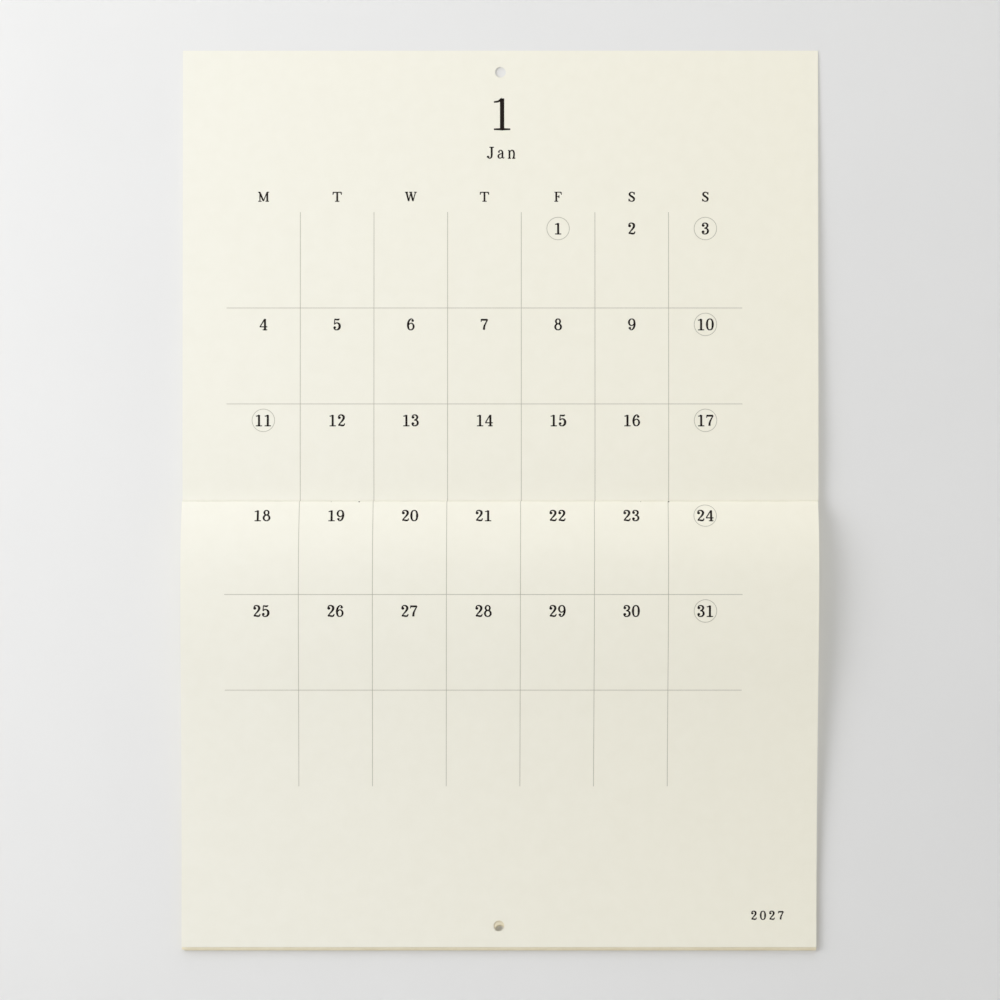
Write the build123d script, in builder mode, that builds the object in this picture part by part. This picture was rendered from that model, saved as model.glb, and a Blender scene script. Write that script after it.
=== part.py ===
from build123d import *
import os
from math import cos, degrees, radians, sin

# A stapled wall calendar that hangs open at its first spread.
# +X runs to the reader's right, +Y towards the wall and +Z up, and the origin is
# the middle of the hanging hole on the wall side of the upper leaf.

# Paper, in trimmed A4 leaves that open to A3
LEAF_WIDTH = 296.0
LEAF_HEIGHT = 210.5
SHEET_THICKNESS = 0.18
INNER_SHEETS = 6
LEAF_GAP = 0.03

# Holes, drilled through the closed booklet
HOLE_DIAMETER = 5.0
HOLE_INSET = 10.0

# Staples
WIRE_DIAMETER = 0.5
INSIDE_BEND = 0.1
STAPLE_CROWN = 13.0
STAPLE_SPACING = 144.0
CLINCH_LENGTH = 4.8
PIERCE_CLEARANCE = 0.03
CROWN_CLEARANCE = 0.08

# Fold loop inside the innermost sheet, where the staple legs are clinched
LOOP_CLEARANCE = 0.1
LOOP_LENGTH = 6.0

# Curve of the hanging pages: out from the spine over a crest, back, and flat to the wall
SPINE_LEAN = 24.0
CREST_RADIUS = 82.0
FALL_ANGLE = 7.0
FALL_RADIUS = 350.0
FOOT_RUN = 16.0

# Curve of the upper leaf: a flare above the crease, a slight bow, then straight to the top
CREASE_CLEARANCE = 0.25
CREASE_RADIUS = 0.06
FLARE_ANGLE = 8.0
FLARE_RADIUS = 45.0
BOW_ANGLE = 3.5
BOW_RADIUS = 450.0
UPPER_TILT = 1.2

# Sizes that follow from the ones above
half_sheet = SHEET_THICKNESS / 2
half_block = INNER_SHEETS * SHEET_THICKNESS
wire_radius = WIRE_DIAMETER / 2
hole_radius = HOLE_DIAMETER / 2
lean = radians(SPINE_LEAN)
fall = radians(FALL_ANGLE)

# Middle of the outer sheet, from the middle of the spine that it wraps
wrap_radius = half_block + LEAF_GAP + half_sheet
crease_radius = CREASE_RADIUS + half_sheet
crown_height = wrap_radius + half_sheet + CROWN_CLEARANCE + wire_radius
crease_forward = degrees((wire_radius + CREASE_CLEARANCE) / wrap_radius)
crease_turn = 90 - SPINE_LEAN + crease_forward + FLARE_ANGLE - BOW_ANGLE + UPPER_TILT

# Every leaf is as long as the next, so the curves take their length from the straight runs
leaf_run = LEAF_HEIGHT - wrap_radius - half_sheet
settle_radius = (leaf_run - CREST_RADIUS * lean - FALL_RADIUS * fall - FOOT_RUN) / fall
rise_run = (
    LEAF_HEIGHT
    - wrap_radius * radians(crease_forward)
    - crease_radius * radians(crease_turn)
    - FLARE_RADIUS * radians(FLARE_ANGLE)
    - BOW_RADIUS * radians(BOW_ANGLE)
)

# Side view: X towards the wall, Y up, with the middle of the spine at 0, 0
UP_PILE = Vector(sin(lean), cos(lean))
ACROSS_PILE = Vector(-cos(lean), sin(lean))


def pile_edge(offset):
    """Draw a leaf of the pile down from the spine, this far in front of the pile's middle."""
    crest = JernArc(ACROSS_PILE * offset, UP_PILE * -1, CREST_RADIUS + offset, SPINE_LEAN)
    drop = JernArc(crest @ 1, crest % 1, FALL_RADIUS + offset, FALL_ANGLE)
    settle = JernArc(drop @ 1, drop % 1, settle_radius - offset, -FALL_ANGLE)
    return Line(settle @ 1, settle @ 1 + Vector(0, offset * lean - FOOT_RUN))


def upper_edge(offset):
    """Draw the upper leaf from the back of the spine to the top edge, this far in front of its middle."""
    wrap = JernArc(ACROSS_PILE * (offset - wrap_radius), UP_PILE, wrap_radius - offset, 90 + crease_forward)
    crease = JernArc(wrap @ 1, wrap % 1, crease_radius + offset, -crease_turn)
    flare = JernArc(crease @ 1, crease % 1, FLARE_RADIUS - offset, FLARE_ANGLE)
    bow = JernArc(flare @ 1, flare % 1, BOW_RADIUS + offset, -BOW_ANGLE)
    return Line(bow @ 1, bow @ 1 + (bow % 1) * rise_run)


# Where the two holes lie in the side view
with BuildLine():
    back_of_leaf = upper_edge(-half_sheet)
    middle_of_pile = pile_edge(0)
hang_point = back_of_leaf @ 1 - (back_of_leaf % 1) * HOLE_INSET
lower_point = middle_of_pile @ 1 + Vector(0, HOLE_INSET) - hang_point

spine_origin = Vector(0, -hang_point.X, -hang_point.Y)
side_plane = Plane(origin=spine_origin, x_dir=(0, 1, 0), z_dir=(1, 0, 0))
staple_plane = Plane(origin=spine_origin, x_dir=(1, 0, 0), z_dir=(0, -cos(lean), sin(lean)))
pierce_plane = Plane(origin=spine_origin, x_dir=(1, 0, 0), z_dir=(0, sin(lean), cos(lean)))
drill_plane = Plane(origin=(0, lower_point.X, lower_point.Y), x_dir=(1, 0, 0), z_dir=(0, -1, 0))

# The leaves slide over each other where the pile bends, so the drilled hole steps down with them
drill_direction = (0, 1, -lean)
drill_reach = 2 * (half_block + LEAF_GAP + SHEET_THICKNESS)

# Outer sheet: the upper leaf with the hanging hole, the fold, and the leaf behind the pile
with BuildPart() as outer_sheet:
    with BuildSketch(side_plane):
        with BuildLine():
            front_foot = pile_edge(half_sheet - wrap_radius)
            back_foot = pile_edge(-half_sheet - wrap_radius)
            Line(front_foot @ 1, back_foot @ 1)
            front_rise = upper_edge(half_sheet)
            back_rise = upper_edge(-half_sheet)
            Line(front_rise @ 1, back_rise @ 1)
        make_face()
    extrude(amount=LEAF_WIDTH / 2, both=True)
    with BuildSketch(Plane.XZ):
        Circle(hole_radius)
    extrude(amount=HOLE_DIAMETER, both=True, mode=Mode.SUBTRACT)
    with BuildSketch(drill_plane):
        Circle(hole_radius)
    extrude(amount=drill_reach, dir=drill_direction, both=True, mode=Mode.SUBTRACT)
    with BuildSketch(pierce_plane):
        with GridLocations(STAPLE_SPACING, 0, 2, 1):
            with GridLocations(STAPLE_CROWN, 0, 2, 1):
                Circle(wire_radius + PIERCE_CLEARANCE)
    extrude(amount=crown_height, mode=Mode.SUBTRACT)
outer_sheet.part.label = "outer_sheet"

# Page block: the inner sheets, folded and nested, with the fold loop open from end to end
with BuildPart() as page_block:
    with BuildSketch(side_plane):
        with BuildLine():
            CenterArc((0, 0), half_block, -SPINE_LEAN, 180)
            front_foot = pile_edge(half_block)
            back_foot = pile_edge(-half_block)
            Line(front_foot @ 1, back_foot @ 1)
        make_face()
        with BuildLine():
            loop = CenterArc((0, 0), wire_radius + LOOP_CLEARANCE, -SPINE_LEAN, 180)
            Polyline(loop @ 1, UP_PILE * -LOOP_LENGTH, loop @ 0)
        make_face(mode=Mode.SUBTRACT)
    extrude(amount=LEAF_WIDTH / 2, both=True)
    with BuildSketch(drill_plane):
        Circle(hole_radius)
    extrude(amount=drill_reach, dir=drill_direction, both=True, mode=Mode.SUBTRACT)
    with BuildSketch(pierce_plane):
        with GridLocations(STAPLE_SPACING, 0, 2, 1):
            with GridLocations(STAPLE_CROWN, 0, 2, 1):
                Circle(wire_radius + PIERCE_CLEARANCE)
    extrude(amount=crown_height, mode=Mode.SUBTRACT)
page_block.part.label = "page_block"

# Two staples: crown behind the fold, legs through it, ends clinched in the fold loop
with BuildPart() as staples:
    with BuildLine(staple_plane) as wire:
        outer_leg = (STAPLE_SPACING + STAPLE_CROWN) / 2
        inner_leg = (STAPLE_SPACING - STAPLE_CROWN) / 2
        FilletPolyline(
            (outer_leg - CLINCH_LENGTH, 0),
            (outer_leg, 0),
            (outer_leg, crown_height),
            (inner_leg, crown_height),
            (inner_leg, 0),
            (inner_leg + CLINCH_LENGTH, 0),
            radius=wire_radius + INSIDE_BEND,
        )
    with BuildSketch(Plane(origin=wire.line @ 0, z_dir=wire.line % 0)):
        Circle(wire_radius)
    sweep()
    mirror(about=Plane.YZ)
staples.part.label = "staples"

os.makedirs("parts", exist_ok=True)
export_step(outer_sheet.part, "parts/outer_sheet.step")
export_step(page_block.part, "parts/page_block.step")
export_step(staples.part, "parts/staples.step")
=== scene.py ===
import random
from math import ceil, cos, pi, radians, sin, sqrt

import bmesh
import bpy
from mathutils import Matrix, Vector


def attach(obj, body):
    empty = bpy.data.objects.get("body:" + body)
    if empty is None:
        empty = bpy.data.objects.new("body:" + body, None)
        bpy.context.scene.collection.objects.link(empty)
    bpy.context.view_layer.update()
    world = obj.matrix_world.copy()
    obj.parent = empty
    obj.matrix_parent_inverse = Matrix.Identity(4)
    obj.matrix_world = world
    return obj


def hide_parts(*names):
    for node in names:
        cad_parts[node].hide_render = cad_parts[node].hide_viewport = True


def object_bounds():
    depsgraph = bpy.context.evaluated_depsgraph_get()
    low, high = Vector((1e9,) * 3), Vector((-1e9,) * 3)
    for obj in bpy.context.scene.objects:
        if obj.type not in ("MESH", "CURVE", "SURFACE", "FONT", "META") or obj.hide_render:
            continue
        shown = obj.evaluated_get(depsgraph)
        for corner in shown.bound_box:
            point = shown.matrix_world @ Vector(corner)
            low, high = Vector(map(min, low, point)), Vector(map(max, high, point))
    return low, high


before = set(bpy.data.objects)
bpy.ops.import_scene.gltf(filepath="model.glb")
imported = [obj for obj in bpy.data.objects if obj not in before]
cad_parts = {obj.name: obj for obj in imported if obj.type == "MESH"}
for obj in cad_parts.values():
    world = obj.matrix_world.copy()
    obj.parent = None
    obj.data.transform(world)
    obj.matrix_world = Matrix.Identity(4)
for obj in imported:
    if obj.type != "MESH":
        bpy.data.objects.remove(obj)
cad_low, cad_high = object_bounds()
MM = 0.001

# Sizes of the folded paper, in millimetres, as the solids have them
LEAF_WIDTH = 296.0
LEAF_HEIGHT = 210.5
SHEET_THICKNESS = 0.18
INNER_SHEETS = 6
LEAF_GAP = 0.03
HOLE_DIAMETER = 5.0
HOLE_INSET = 10.0
HOLE_PATCH = 4.0
LOOP_RADIUS = 0.35
LOOP_LENGTH = 6.0
CREASE_OFFSET = 0.5
CREASE_RADIUS = 0.15
SPINE_LEAN = radians(24.0)
CREST_RADIUS = 82.0
FALL_ANGLE = radians(7.0)
FALL_RADIUS = 350.0
FOOT_RUN = 16.0
FLARE_ANGLE = radians(8.0)
FLARE_RADIUS = 45.0
BOW_ANGLE = radians(3.5)
BOW_RADIUS = 450.0
UPPER_TILT = radians(1.2)

# How finely curves and holes are cut, and the angle in radians from which an edge is sharp
CHORD_ERROR = 0.004
HOLE_SEGMENTS = 48
CUT_TOLERANCE = 1e-5
SHARP_EDGE = 1.0

# Inner leaves are thinner than their share of the pile, so that air shows between their edges,
# and what shows of a lower leaf beside a foot or a hole takes the tan of the cut edges, painted shade and
# bounce light between the stacked leaves
LEAF_THICKNESS = 0.15
SHADED_STRIP = 1.2

# The front leaf lifts towards its foot and is trimmed short, so that the lower leaves show under it
FRONT_LEAF_LIFT = 0.25
LIFT_POWER = 4
FRONT_LEAF_TRIM = 0.5

# Leaves slip sideways, most at the foot, and those below the front sheet are narrower and reach lower
OUTER_LEAF_SLIP = -0.75
UNDER_LEAF_SLIP = -0.1
UNDER_SHEET_TRIM = 1.3
UNDER_LEAF_REACH = 0.5
UNDER_HOLE_DROP = 0.9
SLIP_SPREAD = 0.1
SLIP_SEED = 7
SLIP_AT_FOLD = 0.3

half_sheet = SHEET_THICKNESS / 2
half_block = INNER_SHEETS * SHEET_THICKNESS
wrap_radius = half_block + LEAF_GAP + half_sheet
crease_forward = CREASE_OFFSET / wrap_radius
crease_turn = pi / 2 - SPINE_LEAN + crease_forward + FLARE_ANGLE - BOW_ANGLE + UPPER_TILT
leaf_run = LEAF_HEIGHT - wrap_radius - half_sheet
settle_radius = (leaf_run - CREST_RADIUS * SPINE_LEAN - FALL_RADIUS * FALL_ANGLE - FOOT_RUN) / FALL_ANGLE
rise_run = (
    LEAF_HEIGHT
    - wrap_radius * crease_forward
    - CREASE_RADIUS * crease_turn
    - FLARE_RADIUS * FLARE_ANGLE
    - BOW_RADIUS * BOW_ANGLE
)

# The side view of the paper is a walk down runs of a length and a turn towards the wall


def front(heading):
    """Direction out of the front of paper that leans out from the wall by this angle on its way down."""
    return Vector((0, -cos(heading), sin(heading)))


def down(heading):
    """Direction down along paper of this heading."""
    return Vector((0, -sin(heading), -cos(heading)))


def follow(runs, place, heading, distance):
    """Walk this far along bent paper and return the place and the heading there."""
    for length, turn in runs:
        step = min(distance, length)
        if turn:
            radius = length / turn
            centre = place - front(heading) * radius
            heading -= step / radius
            place = centre + front(heading) * radius
        else:
            place = place + down(heading) * step
        distance -= step
    return place, heading


def pile_runs(offset, reach=0.0):
    """Runs of a leaf this far in front of the middle of the pile, which may reach down further."""
    return [
        ((CREST_RADIUS + offset) * SPINE_LEAN, SPINE_LEAN),
        ((FALL_RADIUS + offset) * FALL_ANGLE, FALL_ANGLE),
        ((settle_radius - offset) * FALL_ANGLE, -FALL_ANGLE),
        (FOOT_RUN - offset * SPINE_LEAN + reach, 0),
    ]


def stations(runs):
    """Distances at which paper with these runs needs a cross cut to look round."""
    cuts = []
    begin = 0.0
    for length, turn in runs:
        if turn:
            chord = sqrt(8 * abs(length / turn) * CHORD_ERROR)
            parts = ceil(length / chord)
            cuts += [begin + length * part / parts for part in range(parts + 1)]
        begin += length
    return cuts


# Outer sheet, from the top edge down to the fold and on behind the pile
upper_runs = [
    (rise_run, 0),
    (BOW_RADIUS * BOW_ANGLE, BOW_ANGLE),
    (FLARE_RADIUS * FLARE_ANGLE, -FLARE_ANGLE),
    (CREASE_RADIUS * crease_turn, crease_turn),
]
wrap_turn = pi / 2 + crease_forward
outer_runs = upper_runs + [(wrap_radius * wrap_turn, -wrap_turn)] + pile_runs(-wrap_radius)
outer_length = sum(length for length, turn in outer_runs)
top_edge = front(UPPER_TILT) * half_sheet - down(UPPER_TILT) * HOLE_INSET

wrap_start, wrap_heading = follow(upper_runs, top_edge, UPPER_TILT, LEAF_HEIGHT)
spine = wrap_start + front(wrap_heading) * wrap_radius
spine_top = down(SPINE_LEAN) * -1


def bend_outer(point):
    """Place of a point of the flat outer sheet, drawn with its top edge along y = 0."""
    place, heading = follow(outer_runs, top_edge, UPPER_TILT, -point.y)
    place = place + front(heading) * point.z
    place.x = point.x + OUTER_LEAF_SLIP * max(-point.y / LEAF_HEIGHT - 1, 0)
    return place * MM


# The two leaves of a folded sheet
FRONT_LEAF, BACK_LEAF = 1, -1


class InnerSheet:
    """A sheet folded round the staples, drawn flat with its fold along y = 0 and its front leaf below."""

    def __init__(self, number, slips, reaches, front_lift):
        self.lie = half_block - (number + 0.5) * SHEET_THICKNESS
        self.fold_radius = LOOP_RADIUS + self.lie * (half_block - LOOP_RADIUS) / half_block
        self.fold_run = self.fold_radius * pi / 2
        self.slip = dict(zip((FRONT_LEAF, BACK_LEAF), slips))
        self.reach = dict(zip((FRONT_LEAF, BACK_LEAF), reaches))
        self.lift = {FRONT_LEAF: front_lift, BACK_LEAF: 0.0}

    def length(self, side):
        """Length of one leaf from the fold to its foot."""
        return self.fold_run + leaf_run + self.reach[side]

    def runs(self, side):
        """Runs of one leaf from the fold down."""
        return [(self.fold_run, side * pi / 2)] + pile_runs(side * self.lie, self.reach[side])

    def stations(self):
        """Heights at which the flat sheet needs a cross cut."""
        fronts = [-cut for cut in stations(self.runs(FRONT_LEAF))]
        return fronts + stations(self.runs(BACK_LEAF))

    def bend(self, point):
        """Place of a point of the flat sheet: the fold closes below the loop, then leaves lift and slip."""
        side = FRONT_LEAF if point.y <= 0 else BACK_LEAF
        distance = abs(point.y)
        place, heading = follow(
            self.runs(side), spine + spine_top * self.fold_radius, SPINE_LEAN + side * pi / 2, distance
        )
        closing = min(max((distance - self.fold_run) / LOOP_LENGTH, 0), 1)
        place = place - front(SPINE_LEAN) * side * (self.fold_radius - self.lie) * closing
        share = distance / self.length(side)
        place = place + front(heading) * (side * point.z + self.lift[side] * share**LIFT_POWER)
        place.x = point.x + self.slip[side] * (SLIP_AT_FOLD + (1 - SLIP_AT_FOLD) * share)
        return place * MM


# Mesh helpers, with the places of a sheet's two materials
PAPER_FACE, EDGE_AND_SHADE_FACE = range(2)


def slit(mesh, place, normal):
    """Cut flat work along the plane with this place and normal."""
    bmesh.ops.bisect_plane(
        mesh,
        geom=mesh.verts[:] + mesh.edges[:] + mesh.faces[:],
        dist=CUT_TOLERANCE,
        plane_co=place,
        plane_no=normal,
    )


def cut_across(mesh, heights):
    """Cut flat work across at each of these heights."""
    for height in heights:
        slit(mesh, (0, height, 0), (0, 1, 0))


def flat_sheet(top, bottom, width=LEAF_WIDTH):
    """A flat rectangle of paper."""
    mesh = bmesh.new()
    middle = Matrix.Translation((0, (top + bottom) / 2, 0))
    size = Matrix.Diagonal((width, top - bottom, 1, 1))
    bmesh.ops.create_grid(mesh, x_segments=1, y_segments=1, size=0.5, matrix=middle @ size)
    return mesh


def punch(mesh, height):
    """Punch a hole through flat paper at this height."""
    for side in (-HOLE_PATCH, HOLE_PATCH):
        slit(mesh, (side, 0, 0), (1, 0, 0))
    cut_across(mesh, (height - HOLE_PATCH, height + HOLE_PATCH))
    centre = Vector((0, height, 0))
    square = min(mesh.faces, key=lambda face: (face.calc_center_median() - centre).length)
    border = square.edges[:]
    bmesh.ops.delete(mesh, geom=[square], context="FACES_ONLY")
    split = bmesh.ops.subdivide_edges(mesh, edges=border, cuts=HOLE_SEGMENTS // 4 - 1)
    rim = {item for item in split["geom"] if isinstance(item, bmesh.types.BMEdge) and item.is_boundary}
    drawn_in = bmesh.ops.extrude_edge_only(mesh, edges=list(rim))
    for item in drawn_in["geom"]:
        if isinstance(item, bmesh.types.BMVert):
            item.co = centre + (item.co - centre).normalized() * HOLE_DIAMETER / 2


def thicken(mesh, thickness, toned=lambda face: False):
    """Give flat paper its thickness about z = 0, and its cut edges and the faces picked for painted shade
    their own tan material.
    """
    bmesh.ops.recalc_face_normals(mesh, faces=mesh.faces[:])
    bmesh.ops.solidify(mesh, geom=mesh.faces[:], thickness=thickness)
    low = min(vert.co.z for vert in mesh.verts)
    bmesh.ops.translate(mesh, verts=mesh.verts[:], vec=(0, 0, -thickness / 2 - low))
    bmesh.ops.recalc_face_normals(mesh, faces=mesh.faces[:])
    for face in mesh.faces:
        face.smooth = True
        # Faces beside feet and holes take the edge tan as painted shade between the stacked leaves
        edge_or_painted_shade = abs(face.normal.z) < 0.5 or toned(face)
        face.material_index = EDGE_AND_SHADE_FACE if edge_or_painted_shade else PAPER_FACE
    for edge in mesh.edges:
        edge.smooth = edge.calc_face_angle(0) < SHARP_EDGE


def finish_piece(name, mesh, materials, slot, *replaced):
    """Turn a bent mesh into a piece of the calendar."""
    data = bpy.data.meshes.new(name)
    mesh.to_mesh(data)
    mesh.free()
    for material in materials:
        data.materials.append(material)
    piece = bpy.data.objects.new(name, data)
    bpy.context.scene.collection.objects.link(piece)
    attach(piece, "root")
    if replaced:
        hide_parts(*replaced)


# Materials, with the sockets of a Mix node that mixes colours
MIX_FACTOR, MIX_FIRST, MIX_SECOND, MIX_RESULT = 0, 6, 7, 2


class Nodes:
    """Short way to add and join the nodes of one tree."""

    def __init__(self, tree):
        self.tree = tree

    def add(self, kind, **settings):
        """Add a shader node and set its properties."""
        node = self.tree.nodes.new("ShaderNode" + kind)
        for key, value in settings.items():
            setattr(node, key, value)
        return node

    def join(self, source, target):
        """Link an output to an input."""
        self.tree.links.new(source, target)

    def noise(self, vector, scale, detail=2.0, roughness=0.5):
        """Noise over these coordinates."""
        node = self.add("TexNoise")
        node.inputs["Scale"].default_value = scale
        node.inputs["Detail"].default_value = detail
        node.inputs["Roughness"].default_value = roughness
        self.join(vector, node.inputs["Vector"])
        return node.outputs["Fac"]

    def math(self, operation, first, second):
        """Sum, product or other operation on two values or outputs."""
        node = self.add("Math", operation=operation)
        for socket, value in zip(node.inputs, (first, second)):
            if isinstance(value, (int, float)):
                socket.default_value = value
            else:
                self.join(value, socket)
        return node.outputs[0]

    def blend(self, factor, first, second):
        """Colour between two colours."""
        node = self.add("Mix", data_type="RGBA")
        self.join(factor, node.inputs[MIX_FACTOR])
        node.inputs[MIX_FIRST].default_value = (*first, 1)
        node.inputs[MIX_SECOND].default_value = (*second, 1)
        return node.outputs[MIX_RESULT]

    def multiply(self, colour, factor, shade):
        """Colour darkened by a shade, as far as the factor says."""
        node = self.add("Mix", data_type="RGBA", blend_type="MULTIPLY")
        self.join(factor, node.inputs[MIX_FACTOR])
        self.join(colour, node.inputs[MIX_FIRST])
        node.inputs[MIX_SECOND].default_value = (*shade, 1)
        return node.outputs[MIX_RESULT]

    def spread(self, value, low, high, start=0.3, end=0.7):
        """Stretch a value from one range to another."""
        node = self.add("MapRange")
        node.inputs["From Min"].default_value = start
        node.inputs["From Max"].default_value = end
        node.inputs["To Min"].default_value = low
        node.inputs["To Max"].default_value = high
        self.join(value, node.inputs["Value"])
        return node.outputs["Result"]


def new_material(name):
    """A material with its node tools, its shader and its object coordinates."""
    material = bpy.data.materials.new(name)
    material.use_nodes = True
    nodes = Nodes(material.node_tree)
    shader = material.node_tree.nodes["Principled BSDF"]
    coordinates = nodes.add("TexCoord").outputs["Object"]
    return material, nodes, shader, coordinates


def fibre_group():
    """Cloudy formation and fine fibres of uncoated paper."""
    tree = bpy.data.node_groups.new("paper_fibres", "ShaderNodeTree")
    tree.interface.new_socket("Coordinates", in_out="INPUT", socket_type="NodeSocketVector")
    for name in ("Clouds", "Fibres", "Relief"):
        tree.interface.new_socket(name, in_out="OUTPUT", socket_type="NodeSocketFloat")
    nodes = Nodes(tree)
    entry = tree.nodes.new("NodeGroupInput")
    leave = tree.nodes.new("NodeGroupOutput")
    clouds = nodes.noise(entry.outputs["Coordinates"], 160, detail=4)
    layers = []
    for turn, stretch in ((0.5, (500, 500, 2600)), (-0.7, (2400, 600, 600))):
        layer = nodes.add("Mapping")
        layer.inputs["Rotation"].default_value = (0, turn, 0)
        layer.inputs["Scale"].default_value = stretch
        nodes.join(entry.outputs["Coordinates"], layer.inputs["Vector"])
        layers.append(nodes.noise(layer.outputs["Vector"], 1, detail=3, roughness=0.6))
    felt = nodes.math("MULTIPLY", nodes.math("ADD", *layers), 0.5)
    relief = nodes.math("ADD", nodes.math("MULTIPLY", felt, 0.7), nodes.math("MULTIPLY", clouds, 0.3))
    nodes.join(clouds, leave.inputs["Clouds"])
    nodes.join(felt, leave.inputs["Fibres"])
    nodes.join(relief, leave.inputs["Relief"])
    return tree


paper_fibres = fibre_group()


def fibre_node(nodes, coordinates):
    """Place the paper fibres in a material."""
    node = nodes.add("Group", node_tree=paper_fibres)
    nodes.join(coordinates, node.inputs["Coordinates"])
    return node


def paper_material(name, left, right, mottle, relief):
    """Uncoated paper with mottling of its own; its colour runs from the left tone to the right tone across
    the sheet, painted light that stands in for how the light falls on it.
    """
    material, nodes, shader, coordinates = new_material(name)
    fibres = fibre_node(nodes, coordinates)
    place = nodes.add("SeparateXYZ")
    nodes.join(coordinates, place.inputs[0])
    # Painted light: the colour runs from one side of the sheet to the other for how the light falls, not for
    # the paper itself
    painted_light_across = nodes.spread(place.outputs["X"], 0, 1, -LEAF_WIDTH * MM / 2, LEAF_WIDTH * MM / 2)
    clouds = nodes.spread(fibres.outputs["Clouds"], 0.0, 0.7)
    flecks = nodes.spread(fibres.outputs["Fibres"], 0.0, 0.3)
    tone = nodes.multiply(nodes.blend(painted_light_across, left, right), nodes.math("ADD", clouds, flecks), mottle)
    nodes.join(tone, shader.inputs["Base Color"])
    nodes.join(nodes.spread(fibres.outputs["Fibres"], 0.82, 0.95), shader.inputs["Roughness"])
    shader.inputs["Specular IOR Level"].default_value = 0.25
    bump = nodes.add("Bump")
    bump.inputs["Strength"].default_value = relief
    bump.inputs["Distance"].default_value = 0.00002
    nodes.join(fibres.outputs["Relief"], bump.inputs["Height"])
    nodes.join(bump.outputs["Normal"], shader.inputs["Normal"])
    return material


def ink_material(name, dark, worn):
    """Matt printing ink, thinner where the paper is rough."""
    material, nodes, shader, coordinates = new_material(name)
    fibres = fibre_node(nodes, coordinates)
    cover = nodes.spread(fibres.outputs["Fibres"], 0.0, 1.0)
    nodes.join(nodes.blend(cover, dark, worn), shader.inputs["Base Color"])
    nodes.join(nodes.spread(fibres.outputs["Clouds"], 0.6, 0.75), shader.inputs["Roughness"])
    shader.inputs["Specular IOR Level"].default_value = 0.1
    return material


def wire_material():
    """Drawn galvanised wire with fine lines along it and dull zinc patches."""
    material, nodes, shader, coordinates = new_material("staple_wire")
    drawn = nodes.add("Mapping")
    drawn.inputs["Scale"].default_value = (300, 9000, 9000)
    nodes.join(coordinates, drawn.inputs["Vector"])
    lines = nodes.noise(drawn.outputs["Vector"], 1, detail=3)
    patches = nodes.noise(coordinates, 900, detail=3)
    tone = nodes.blend(nodes.spread(patches, 0, 1), (0.62, 0.62, 0.61), (0.44, 0.44, 0.45))
    nodes.join(tone, shader.inputs["Base Color"])
    shader.inputs["Metallic"].default_value = 1.0
    nodes.join(nodes.spread(lines, 0.26, 0.46), shader.inputs["Roughness"])
    return material


# The paper is painted lighter and warmer towards the right, standing in for how the light falls on it
cream_paper = paper_material(
    "cream_paper", (0.858, 0.844, 0.757), (0.896, 0.870, 0.748), mottle=(0.98, 0.978, 0.97), relief=0.25
)
# Tan with a darker mottle: partly the tone of cut paper edges, partly painted shade and bounce light between
# the stacked leaves beside feet and holes
cut_edge_and_painted_shade = paper_material(
    "cut_edge_and_painted_shade", (0.88, 0.82, 0.64), (0.88, 0.81, 0.62), mottle=(0.90, 0.88, 0.84), relief=0.5
)
black_ink = ink_material("black_ink", (0.009, 0.006, 0.005), (0.018, 0.012, 0.010))
grey_ink = ink_material("grey_ink", (0.43, 0.415, 0.345), (0.53, 0.51, 0.43))

# Sheets
outer = flat_sheet(0, -outer_length)
punch(outer, -HOLE_INSET)
punch(outer, HOLE_INSET - outer_length)
cut_across(outer, [-cut for cut in stations(outer_runs)])
thicken(outer, SHEET_THICKNESS)
for vert in outer.verts:
    vert.co = bend_outer(vert.co)
finish_piece("outer_sheet_paper", outer, [cream_paper, cut_edge_and_painted_shade], "sheet_paper", "outer_sheet")


def edge_tone(feet, is_front_sheet):
    """Pick the faces of a sheet beside its feet and holes, apart from those of the front leaf in view, for
    the tan of painted shade and bounce light between stacked leaves.
    """

    def toned(face):
        place = face.calc_center_median()
        from_foot = min(abs(place.y - foot) for foot in feet)
        by_hole = abs(place.x) < HOLE_PATCH and abs(from_foot - HOLE_INSET) < HOLE_PATCH
        in_view = is_front_sheet and place.y < 0
        return (from_foot < SHADED_STRIP or by_hole) and not in_view

    return toned


chance = random.Random(SLIP_SEED)
pages = bmesh.new()
inner_sheets = []
for number in range(INNER_SHEETS):
    slips = [UNDER_LEAF_SLIP + chance.uniform(-SLIP_SPREAD, SLIP_SPREAD) for leaf in range(2)]
    reaches = [UNDER_LEAF_REACH, UNDER_LEAF_REACH]
    hole_insets = [HOLE_INSET - UNDER_HOLE_DROP, HOLE_INSET - UNDER_HOLE_DROP]
    front_lift = 0.0
    width = LEAF_WIDTH - UNDER_SHEET_TRIM
    if number == 0:
        slips = [OUTER_LEAF_SLIP, OUTER_LEAF_SLIP]
        reaches = [-FRONT_LEAF_TRIM, 0.0]
        hole_insets[0] = HOLE_INSET
        front_lift = FRONT_LEAF_LIFT
        width = LEAF_WIDTH
    sheet = InnerSheet(number, slips, reaches, front_lift)
    inner_sheets.append(sheet)
    front_foot = -sheet.length(FRONT_LEAF)
    back_foot = sheet.length(BACK_LEAF)
    flat = flat_sheet(back_foot, front_foot, width)
    punch(flat, front_foot + hole_insets[0])
    punch(flat, back_foot - hole_insets[1])
    cut_across(flat, sheet.stations() + [front_foot + SHADED_STRIP, back_foot - SHADED_STRIP])
    thicken(flat, LEAF_THICKNESS, edge_tone((front_foot, back_foot), number == 0))
    for vert in flat.verts:
        vert.co = sheet.bend(vert.co)
    stacked = bpy.data.meshes.new("stacked_sheet")
    flat.to_mesh(stacked)
    flat.free()
    pages.from_mesh(stacked)
    bpy.data.meshes.remove(stacked)
finish_piece("page_sheets", pages, [cream_paper, cut_edge_and_painted_shade], "page_paper", "page_block")

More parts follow.
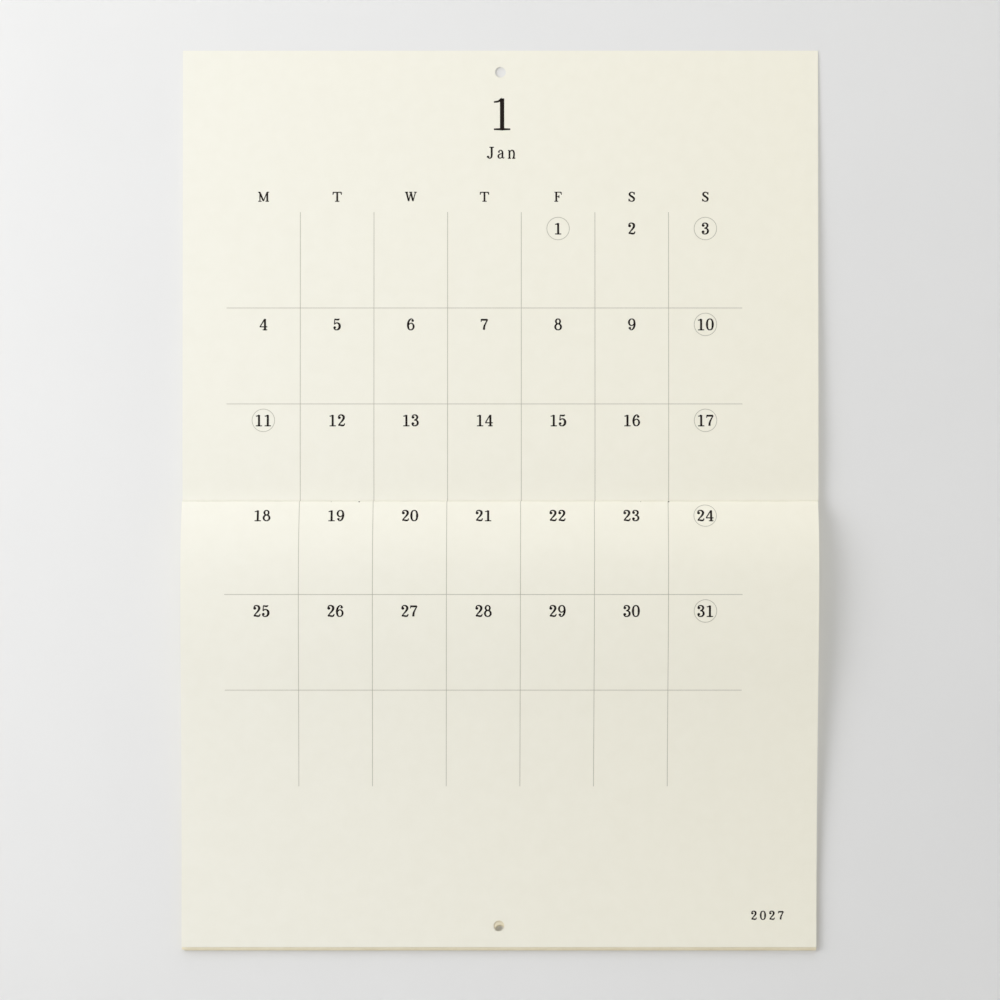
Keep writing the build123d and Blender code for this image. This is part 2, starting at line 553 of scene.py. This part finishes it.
# Figures and letters, drawn as pen strokes of x, y and width in hundredths of their height.
# A stroke that ends where it begins is a closed loop.


def round_loop(x, y, reach, width):
    """A round stroke about a middle."""
    return [
        (x, y + reach, width),
        (x + reach, y, width),
        (x, y - reach, width),
        (x - reach, y, width),
        (x, y + reach, width),
    ]


def ball(x, y, size):
    """A round dot, drawn as a loop so small that its stroke closes the middle."""
    return round_loop(x, y, size / 4, size / 2)


def foot_serif(x, reach, y=3):
    """A bracketed serif under or over a stem."""
    return [(x - reach, y, 5), (x - reach * 0.4, y, 6), (x, y, 8), (x + reach * 0.4, y, 6), (x + reach, y, 5)]


SIX = [
    [
        (49, 86, 5),
        (38, 97, 5),
        (21, 88, 10),
        (10, 62, 13),
        (9, 34, 13),
        (17, 9, 9),
        (31, 3, 5),
        (46, 11, 9),
        (53, 32, 13),
        (46, 53, 9),
        (32, 60, 6),
        (17, 50, 5),
        (10, 36, 4),
    ],
    ball(46, 82, 17),
]

STROKES = {
    "0": [[(31, 97, 6), (8, 50, 15), (31, 3, 6), (54, 50, 15), (31, 97, 6)]],
    "1": [[(32, 3, 13), (32, 97, 13)], [(7, 86, 5), (20, 88, 6), (32, 95, 9)], foot_serif(32, 25)],
    "2": [
        ball(15, 73, 20),
        [
            (8, 78, 5),
            (14, 92, 6),
            (30, 97, 7),
            (47, 87, 14),
            (50, 71, 15),
            (42, 52, 12),
            (24, 29, 7),
            (8, 8, 5),
        ],
        [(7, 6, 5), (20, 9, 11), (36, 6, 12), (48, 7, 11), (55, 15, 6), (57, 25, 4)],
    ],
    "3": [
        ball(14, 76, 19),
        [(7, 80, 5), (14, 93, 6), (29, 97, 6), (45, 88, 12), (48, 75, 13), (41, 60, 9), (24, 53, 5)],
        [(24, 53, 5), (44, 47, 9), (52, 29, 14), (45, 10, 10), (28, 3, 6), (13, 7, 6), (6, 18, 5)],
        ball(13, 22, 19),
    ],
    "4": [
        [(42, 97, 6), (5, 30, 6)],
        [(2, 29, 6), (63, 29, 6)],
        [(44, 98, 13), (44, 3, 13)],
        foot_serif(44, 18),
    ],
    "5": [
        [(12, 97, 4), (26, 92, 10), (42, 92, 12), (52, 98, 4)],
        [(14, 95, 5), (11, 50, 5)],
        [
            (11, 50, 5),
            (20, 60, 6),
            (33, 63, 7),
            (48, 53, 13),
            (53, 33, 16),
            (46, 12, 13),
            (29, 3, 6),
            (13, 8, 6),
            (6, 20, 5),
        ],
        ball(13, 23, 18),
    ],
    "6": SIX,
    "7": [
        [(6, 90, 13), (54, 90, 13)],
        [(5, 97, 4), (4, 72, 4)],
        [(56, 92, 6), (40, 60, 8), (29, 32, 12), (26, 3, 14)],
    ],
    "8": [
        [(30, 97, 6), (47, 77, 11), (31, 55, 8), (13, 77, 12), (30, 97, 6)],
        [(31, 55, 8), (54, 27, 13), (31, 3, 6), (8, 27, 13), (31, 55, 8)],
    ],
    "9": [[(62 - x, 100 - y, width) for x, y, width in stroke] for stroke in SIX],
    "M": [
        [(18, 3, 7), (18, 95, 7)],
        [(88, 3, 14), (88, 95, 14)],
        [(14, 97, 15), (52, 5, 12)],
        [(52, 5, 6), (86, 96, 6)],
        foot_serif(18, 17),
        foot_serif(88, 18),
        [(0, 97, 6), (22, 97, 6)],
        [(82, 97, 6), (106, 97, 6)],
    ],
    "T": [
        [(6, 96, 7), (86, 96, 7)],
        [(46, 3, 14), (46, 96, 14)],
        foot_serif(46, 21),
        [(10, 96, 12), (4, 70, 3)],
        [(82, 96, 12), (88, 70, 3)],
    ],
    "W": [
        [(15, 97, 15), (37, 4, 12)],
        [(37, 4, 6), (58, 95, 6)],
        [(56, 97, 15), (78, 4, 12)],
        [(78, 4, 6), (101, 95, 6)],
        [(0, 97, 6), (30, 97, 6)],
        [(42, 97, 6), (70, 97, 6)],
        [(88, 97, 6), (114, 97, 6)],
    ],
    "F": [
        [(20, 3, 14), (20, 97, 14)],
        [(3, 97, 6), (68, 97, 6)],
        [(64, 97, 11), (71, 70, 3)],
        [(20, 51, 6), (46, 51, 6)],
        [(47, 66, 3), (45, 51, 9), (47, 36, 3)],
        foot_serif(20, 19),
    ],
    "S": [
        [
            (56, 76, 6),
            (48, 91, 7),
            (32, 97, 7),
            (15, 88, 12),
            (11, 74, 15),
            (23, 59, 17),
            (41, 46, 17),
            (54, 30, 16),
            (51, 13, 12),
            (34, 3, 7),
            (15, 9, 7),
            (6, 24, 6),
        ],
        [(57, 98, 4), (57, 72, 7)],
        [(5, 2, 4), (5, 28, 7)],
    ],
    "J": [
        [(40, 96, 13), (40, 60, 13), (40, 26, 12), (35, 8, 9), (22, 2, 6), (11, 9, 6)],
        ball(11, 14, 17),
        [(22, 97, 6), (58, 97, 6)],
    ],
    "a": [
        ball(12, 57, 13),
        [(10, 62, 5), (24, 71, 6), (37, 64, 9), (41, 50, 11), (41, 14, 11), (46, 4, 6), (56, 7, 4)],
        [(40, 44, 5), (22, 38, 6), (9, 27, 10), (8, 14, 11), (18, 3, 7), (32, 7, 5), (40, 17, 4)],
    ],
    "n": [
        [(14, 3, 11), (14, 69, 11)],
        [(2, 70, 4), (15, 69, 6)],
        [(16, 52, 4), (27, 68, 6), (39, 70, 8), (48, 58, 11), (48, 3, 11)],
        foot_serif(14, 13, 2),
        foot_serif(48, 13, 2),
    ],
}


def stroke_mesh(strokes, weight=0.0):
    """Flat ribbons along pen strokes, in the units of the strokes and wider by the weight."""
    curve = bpy.data.curves.new("pen", "CURVE")
    curve.dimensions = "3D"
    curve.extrude = 0.5
    curve.resolution_u = 8
    for stroke in strokes:
        closed = stroke[0] == stroke[-1]
        marks = stroke[:-1] if closed else stroke
        spline = curve.splines.new("BEZIER")
        spline.bezier_points.add(len(marks) - 1)
        spline.use_cyclic_u = closed
        for point, (x, y, width) in zip(spline.bezier_points, marks):
            point.co = (x, y, 0)
            point.radius = width + weight
            point.tilt = pi / 2
            point.handle_left_type = "AUTO"
            point.handle_right_type = "AUTO"
    carrier = bpy.data.objects.new("pen", curve)
    mesh = bpy.data.meshes.new_from_object(carrier)
    bpy.data.objects.remove(carrier)
    bpy.data.curves.remove(curve)
    return mesh


# Small print is cut wider and bolder than large print
SMALL_PRINT_WIDTH = 1.08
SMALL_PRINT_WEIGHT = 3.5
BLACK, GREY = range(2)


class Print:
    """Ink on one flat page, drawn in millimetres with y upwards."""

    def __init__(self):
        self.mesh = bmesh.new()

    def lay(self, strokes, place, wide=1.0, tall=1.0, weight=0.0, colour=BLACK):
        """Lay pen strokes with the middle of their width and their foot at this place."""
        shape = stroke_mesh(strokes, weight)
        edges = [vert.co.x for vert in shape.vertices]
        centre = Matrix.Translation((-(min(edges) + max(edges)) / 2, 0, 0))
        before = set(self.mesh.verts)
        self.mesh.from_mesh(shape)
        bpy.data.meshes.remove(shape)
        fresh = [vert for vert in self.mesh.verts if vert not in before]
        fit = Matrix.Translation(place) @ Matrix.Diagonal((wide, tall, 1, 1)) @ centre
        bmesh.ops.transform(self.mesh, verts=fresh, matrix=fit)
        for face in {face for vert in fresh for face in vert.link_faces}:
            face.material_index = colour

    def text(self, words, x, foot, height, pitch=0.0, width=SMALL_PRINT_WIDTH, weight=SMALL_PRINT_WEIGHT):
        """Set figures or letters in equal steps about a middle line."""
        left = x - pitch * (len(words) - 1) / 2
        for step, letter in enumerate(words):
            tall = height / 100
            self.lay(STROKES[letter], (left + pitch * step, foot, 0), tall * width, tall, weight)

    def bar(self, x, y, width, height):
        """A ruled line."""
        place = Matrix.Translation((x, y, 0)) @ Matrix.Diagonal((width, height, 1, 1))
        made = bmesh.ops.create_grid(self.mesh, x_segments=1, y_segments=1, size=0.5, matrix=place)
        for face in {face for vert in made["verts"] for face in vert.link_faces}:
            face.material_index = GREY

    def ring(self, x, y, diameter, width):
        """A thin ring round a date."""
        self.lay([round_loop(0, 0, diameter / 2, width)], (x, y, 0), colour=GREY)


# Month grid, in millimetres from the middle of the page and from its top edge or the fold
COLUMN_PITCH = 34.3
FIRST_COLUMN = -110.34
ROW_PITCH = 44.7
GRID_TOP = 75.33
LOWER_GRID_TOP = 0.4
GRID_FOOT = 135.0
LINE_WIDTH = 0.28
DATE_DROP = 7.65
DATE_HEIGHT = 5.4
DATE_PITCH = 4.1
RING_DIAMETER = 10.5
RINGED = {1, 3, 10, 11, 17, 24, 31}
LOWER_PRINT_SHIFT = -0.1
INK_LIFT = 0.03

# Month figure and name, day initials and year: middle, foot line and height
MONTH_MIDDLE = 0.75
MONTH_FOOT = -37.1
MONTH_HEIGHT = 15.3
NAME_MIDDLE = 0.25
NAME_FOOT = -50.3
NAME_HEIGHT = 5.4
NAME_PITCH = 4.95
NAME_WEIGHT = 3.0
INITIAL_FOOT = -70.4
INITIAL_HEIGHT = 4.5
YEAR_MIDDLE = 125.2
YEAR_RISE = 12.85
YEAR_HEIGHT = 4.15
YEAR_PITCH = 4.2
YEAR_WEIGHT = 4.5

# Ink dots painted as the shade of the small dents where the staple legs press on the front sheet beside the
# fold: place across, size and ink
SHADE_MARK_DROP = 1.1
LEG_SHADE_MARKS = ((-78.5, 0.5, GREY), (-65.5, 0.7, BLACK), (65.5, 0.5, GREY), (78.5, 0.7, BLACK))

columns = [FIRST_COLUMN + COLUMN_PITCH * day for day in range(7)]
rules = [column + COLUMN_PITCH / 2 for column in columns[:-1]]
grid_middle = columns[3]
grid_width = COLUMN_PITCH * 7


def set_dates(page, first_column, first_date, row_line, shift=0.0):
    """Set one week's dates under its row line."""
    for date, column in enumerate(columns[first_column:], first_date):
        middle = row_line - DATE_DROP
        page.text(str(date), column + shift, middle - DATE_HEIGHT / 2, DATE_HEIGHT, DATE_PITCH)
        if date in RINGED:
            page.ring(column + shift, middle, RING_DIAMETER, LINE_WIDTH)


upper_page = Print()
upper_page.text("1", MONTH_MIDDLE, MONTH_FOOT, MONTH_HEIGHT, width=1.0, weight=0.0)
upper_page.text("Jan", NAME_MIDDLE, NAME_FOOT, NAME_HEIGHT, pitch=NAME_PITCH, weight=NAME_WEIGHT)
for initial, column in zip("MTWTFSS", columns):
    upper_page.text(initial, column, INITIAL_FOOT, INITIAL_HEIGHT)
for rule in rules:
    upper_page.bar(rule, -(GRID_TOP + LEAF_HEIGHT) / 2, LINE_WIDTH, LEAF_HEIGHT - GRID_TOP)
for row in (1, 2):
    upper_page.bar(grid_middle, -GRID_TOP - ROW_PITCH * row, grid_width, LINE_WIDTH)
set_dates(upper_page, 4, 1, -GRID_TOP)
set_dates(upper_page, 0, 4, -GRID_TOP - ROW_PITCH)
set_dates(upper_page, 0, 11, -GRID_TOP - ROW_PITCH * 2)

lower_page = Print()
for rule in rules:
    lower_page.bar(rule + LOWER_PRINT_SHIFT, -GRID_FOOT / 2, LINE_WIDTH, GRID_FOOT)
for row in (1, 2):
    row_line = -LOWER_GRID_TOP - ROW_PITCH * row
    lower_page.bar(grid_middle + LOWER_PRINT_SHIFT, row_line, grid_width, LINE_WIDTH)
set_dates(lower_page, 0, 18, -LOWER_GRID_TOP, LOWER_PRINT_SHIFT)
set_dates(lower_page, 0, 25, -LOWER_GRID_TOP - ROW_PITCH, LOWER_PRINT_SHIFT)
front_sheet = inner_sheets[0]
year_foot = YEAR_RISE - front_sheet.length(FRONT_LEAF)
lower_page.text("2027", YEAR_MIDDLE, year_foot, YEAR_HEIGHT, pitch=YEAR_PITCH, weight=YEAR_WEIGHT)
# Painted shade: ink dots where the staple legs dent the fold
for leg, size, colour in LEG_SHADE_MARKS:
    lower_page.lay([ball(0, 0, size)], (leg, -SHADE_MARK_DROP, 0), colour=colour)

cut_across(upper_page.mesh, [-cut for cut in stations(outer_runs) if cut < LEAF_HEIGHT])
for vert in upper_page.mesh.verts:
    vert.co = bend_outer(vert.co + Vector((0, 0, half_sheet + INK_LIFT)))
finish_piece("upper_print", upper_page.mesh, [black_ink, grey_ink], "sheet_paper")

cut_across(lower_page.mesh, [cut for cut in front_sheet.stations() if cut < 0])
for vert in lower_page.mesh.verts:
    vert.co = front_sheet.bend(vert.co + Vector((0, 0, LEAF_THICKNESS / 2 + INK_LIFT)))
finish_piece("lower_print", lower_page.mesh, [black_ink, grey_ink], "page_paper")

# Staples keep their solids
staple_wire = wire_material()
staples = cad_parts["staples"]
staples.data.materials.clear()
staples.data.materials.append(staple_wire)

# Wall, floor and light
WALL_GAP = 0.00005
FLOOR_HEIGHT = -1.1
STAGE_SIZE = 6.0

# Light passes the wall within this reach of where it starts, so that the back of the calendar is lit
BACK_REACH = 0.02

wall_plane = cad_high.y + WALL_GAP


def stage_material(name, pale, deep, open_back):
    """Matt paint; a wall is open from behind and to light that only crosses the gap at the back."""
    material, nodes, shader, coordinates = new_material(name)
    drift = nodes.noise(coordinates, 6, detail=3)
    nodes.join(nodes.blend(nodes.spread(drift, 0, 1), pale, deep), shader.inputs["Base Color"])
    shader.inputs["Roughness"].default_value = 0.9
    shader.inputs["Specular IOR Level"].default_value = 0.1
    if open_back:
        path = nodes.add("LightPath")
        behind = nodes.add("NewGeometry").outputs["Backfacing"]
        near = nodes.math("LESS_THAN", path.outputs["Ray Length"], BACK_REACH)
        indirect = nodes.math("SUBTRACT", 1, path.outputs["Is Camera Ray"])
        see_through = nodes.math("MAXIMUM", behind, nodes.math("MULTIPLY", near, indirect))
        clear = nodes.add("BsdfTransparent")
        mix = nodes.add("MixShader")
        nodes.join(see_through, mix.inputs[0])
        nodes.join(shader.outputs[0], mix.inputs[1])
        nodes.join(clear.outputs[0], mix.inputs[2])
        nodes.join(mix.outputs[0], material.node_tree.nodes["Material Output"].inputs["Surface"])
    return material


def stage_plane(name, matrix, material):
    """A large square of the stage."""
    mesh = bmesh.new()
    bmesh.ops.create_grid(mesh, x_segments=1, y_segments=1, size=STAGE_SIZE / 2, matrix=matrix)
    data = bpy.data.meshes.new(name)
    mesh.to_mesh(data)
    mesh.free()
    data.materials.append(material)
    plane = bpy.data.objects.new(name, data)
    bpy.context.scene.collection.objects.link(plane)


wall_paint = stage_material("wall_paint", (0.790, 0.790, 0.785), (0.770, 0.770, 0.766), open_back=True)
floor_paint = stage_material("floor_paint", (0.78, 0.78, 0.775), (0.75, 0.75, 0.745), open_back=False)
stage_plane("wall", Matrix.Translation((0, wall_plane, 0)) @ Matrix.Rotation(pi / 2, 4, "X"), wall_paint)
stage_plane("floor", Matrix.Translation((0, 0, FLOOR_HEIGHT)), floor_paint)

scene = bpy.context.scene
scene.view_settings.view_transform = "Standard"

# The sky is dim in front, where the lamps are, and bright behind, so that the back is lit too
FRONT_SKY = 0.232
REAR_SKY = 1.1

world = bpy.data.worlds.new("studio")
scene.world = world
world.use_nodes = True
sky = Nodes(world.node_tree)
ambient = world.node_tree.nodes["Background"]
ambient.inputs["Color"].default_value = (1, 1, 1, 1)
direction = sky.add("SeparateXYZ")
sky.join(sky.add("TexCoord").outputs["Generated"], direction.inputs[0])
sky.join(sky.spread(direction.outputs["Y"], FRONT_SKY, REAR_SKY, -1, 1), ambient.inputs["Strength"])
backdrop = sky.add("Background")
backdrop.inputs["Color"].default_value = (0.86, 0.86, 0.86, 1)
path = sky.add("LightPath")
seen = sky.math("ADD", path.outputs["Is Camera Ray"], path.outputs["Is Glossy Ray"])
seen = sky.math("ADD", seen, path.outputs["Is Transmission Ray"])
choice = sky.add("MixShader")
sky.join(seen, choice.inputs[0])
sky.join(ambient.outputs[0], choice.inputs[1])
sky.join(backdrop.outputs[0], choice.inputs[2])
sky.join(choice.outputs[0], world.node_tree.nodes["World Output"].inputs["Surface"])

LOOK_AT = Vector((0, 0, -0.2))


def soft_light(name, direction, distance, size, power):
    """A round soft light in this direction from the middle of the calendar."""
    light = bpy.data.lights.new(name, "AREA")
    light.shape = "DISK"
    light.size = size
    light.energy = power
    lamp = bpy.data.objects.new(name, light)
    towards = Vector(direction).normalized()
    lamp.location = LOOK_AT + towards * distance
    lamp.rotation_euler = towards.to_track_quat("Z", "Y").to_euler()
    lamp.visible_camera = False
    scene.collection.objects.link(lamp)


soft_light("window_light", (-1.25, -1, 0.3), distance=3.2, size=2.56, power=49.0)
soft_light("ceiling_light", (0, -0.6, 1), distance=1.6, size=1.2, power=8.25)
soft_light("side_light", (-1.6, -1, 0.3), distance=0.8, size=0.6, power=1.26)

CAMERA_DISTANCE = 1.6
CAMERA_TILT = radians(0.3)
FRAME_SIZE = 0.46505
SENSOR = 36.0

camera_data = bpy.data.cameras.new("camera")
camera_data.sensor_width = SENSOR
camera_data.lens = SENSOR * CAMERA_DISTANCE / FRAME_SIZE
camera = bpy.data.objects.new("camera", camera_data)
camera_aim = Vector((-0.0002, -0.005, -0.1994))
camera.location = camera_aim + Vector((0, -cos(CAMERA_TILT), sin(CAMERA_TILT))) * CAMERA_DISTANCE
camera.rotation_euler = (pi / 2 - CAMERA_TILT, 0, 0)
scene.collection.objects.link(camera)
scene.camera = camera
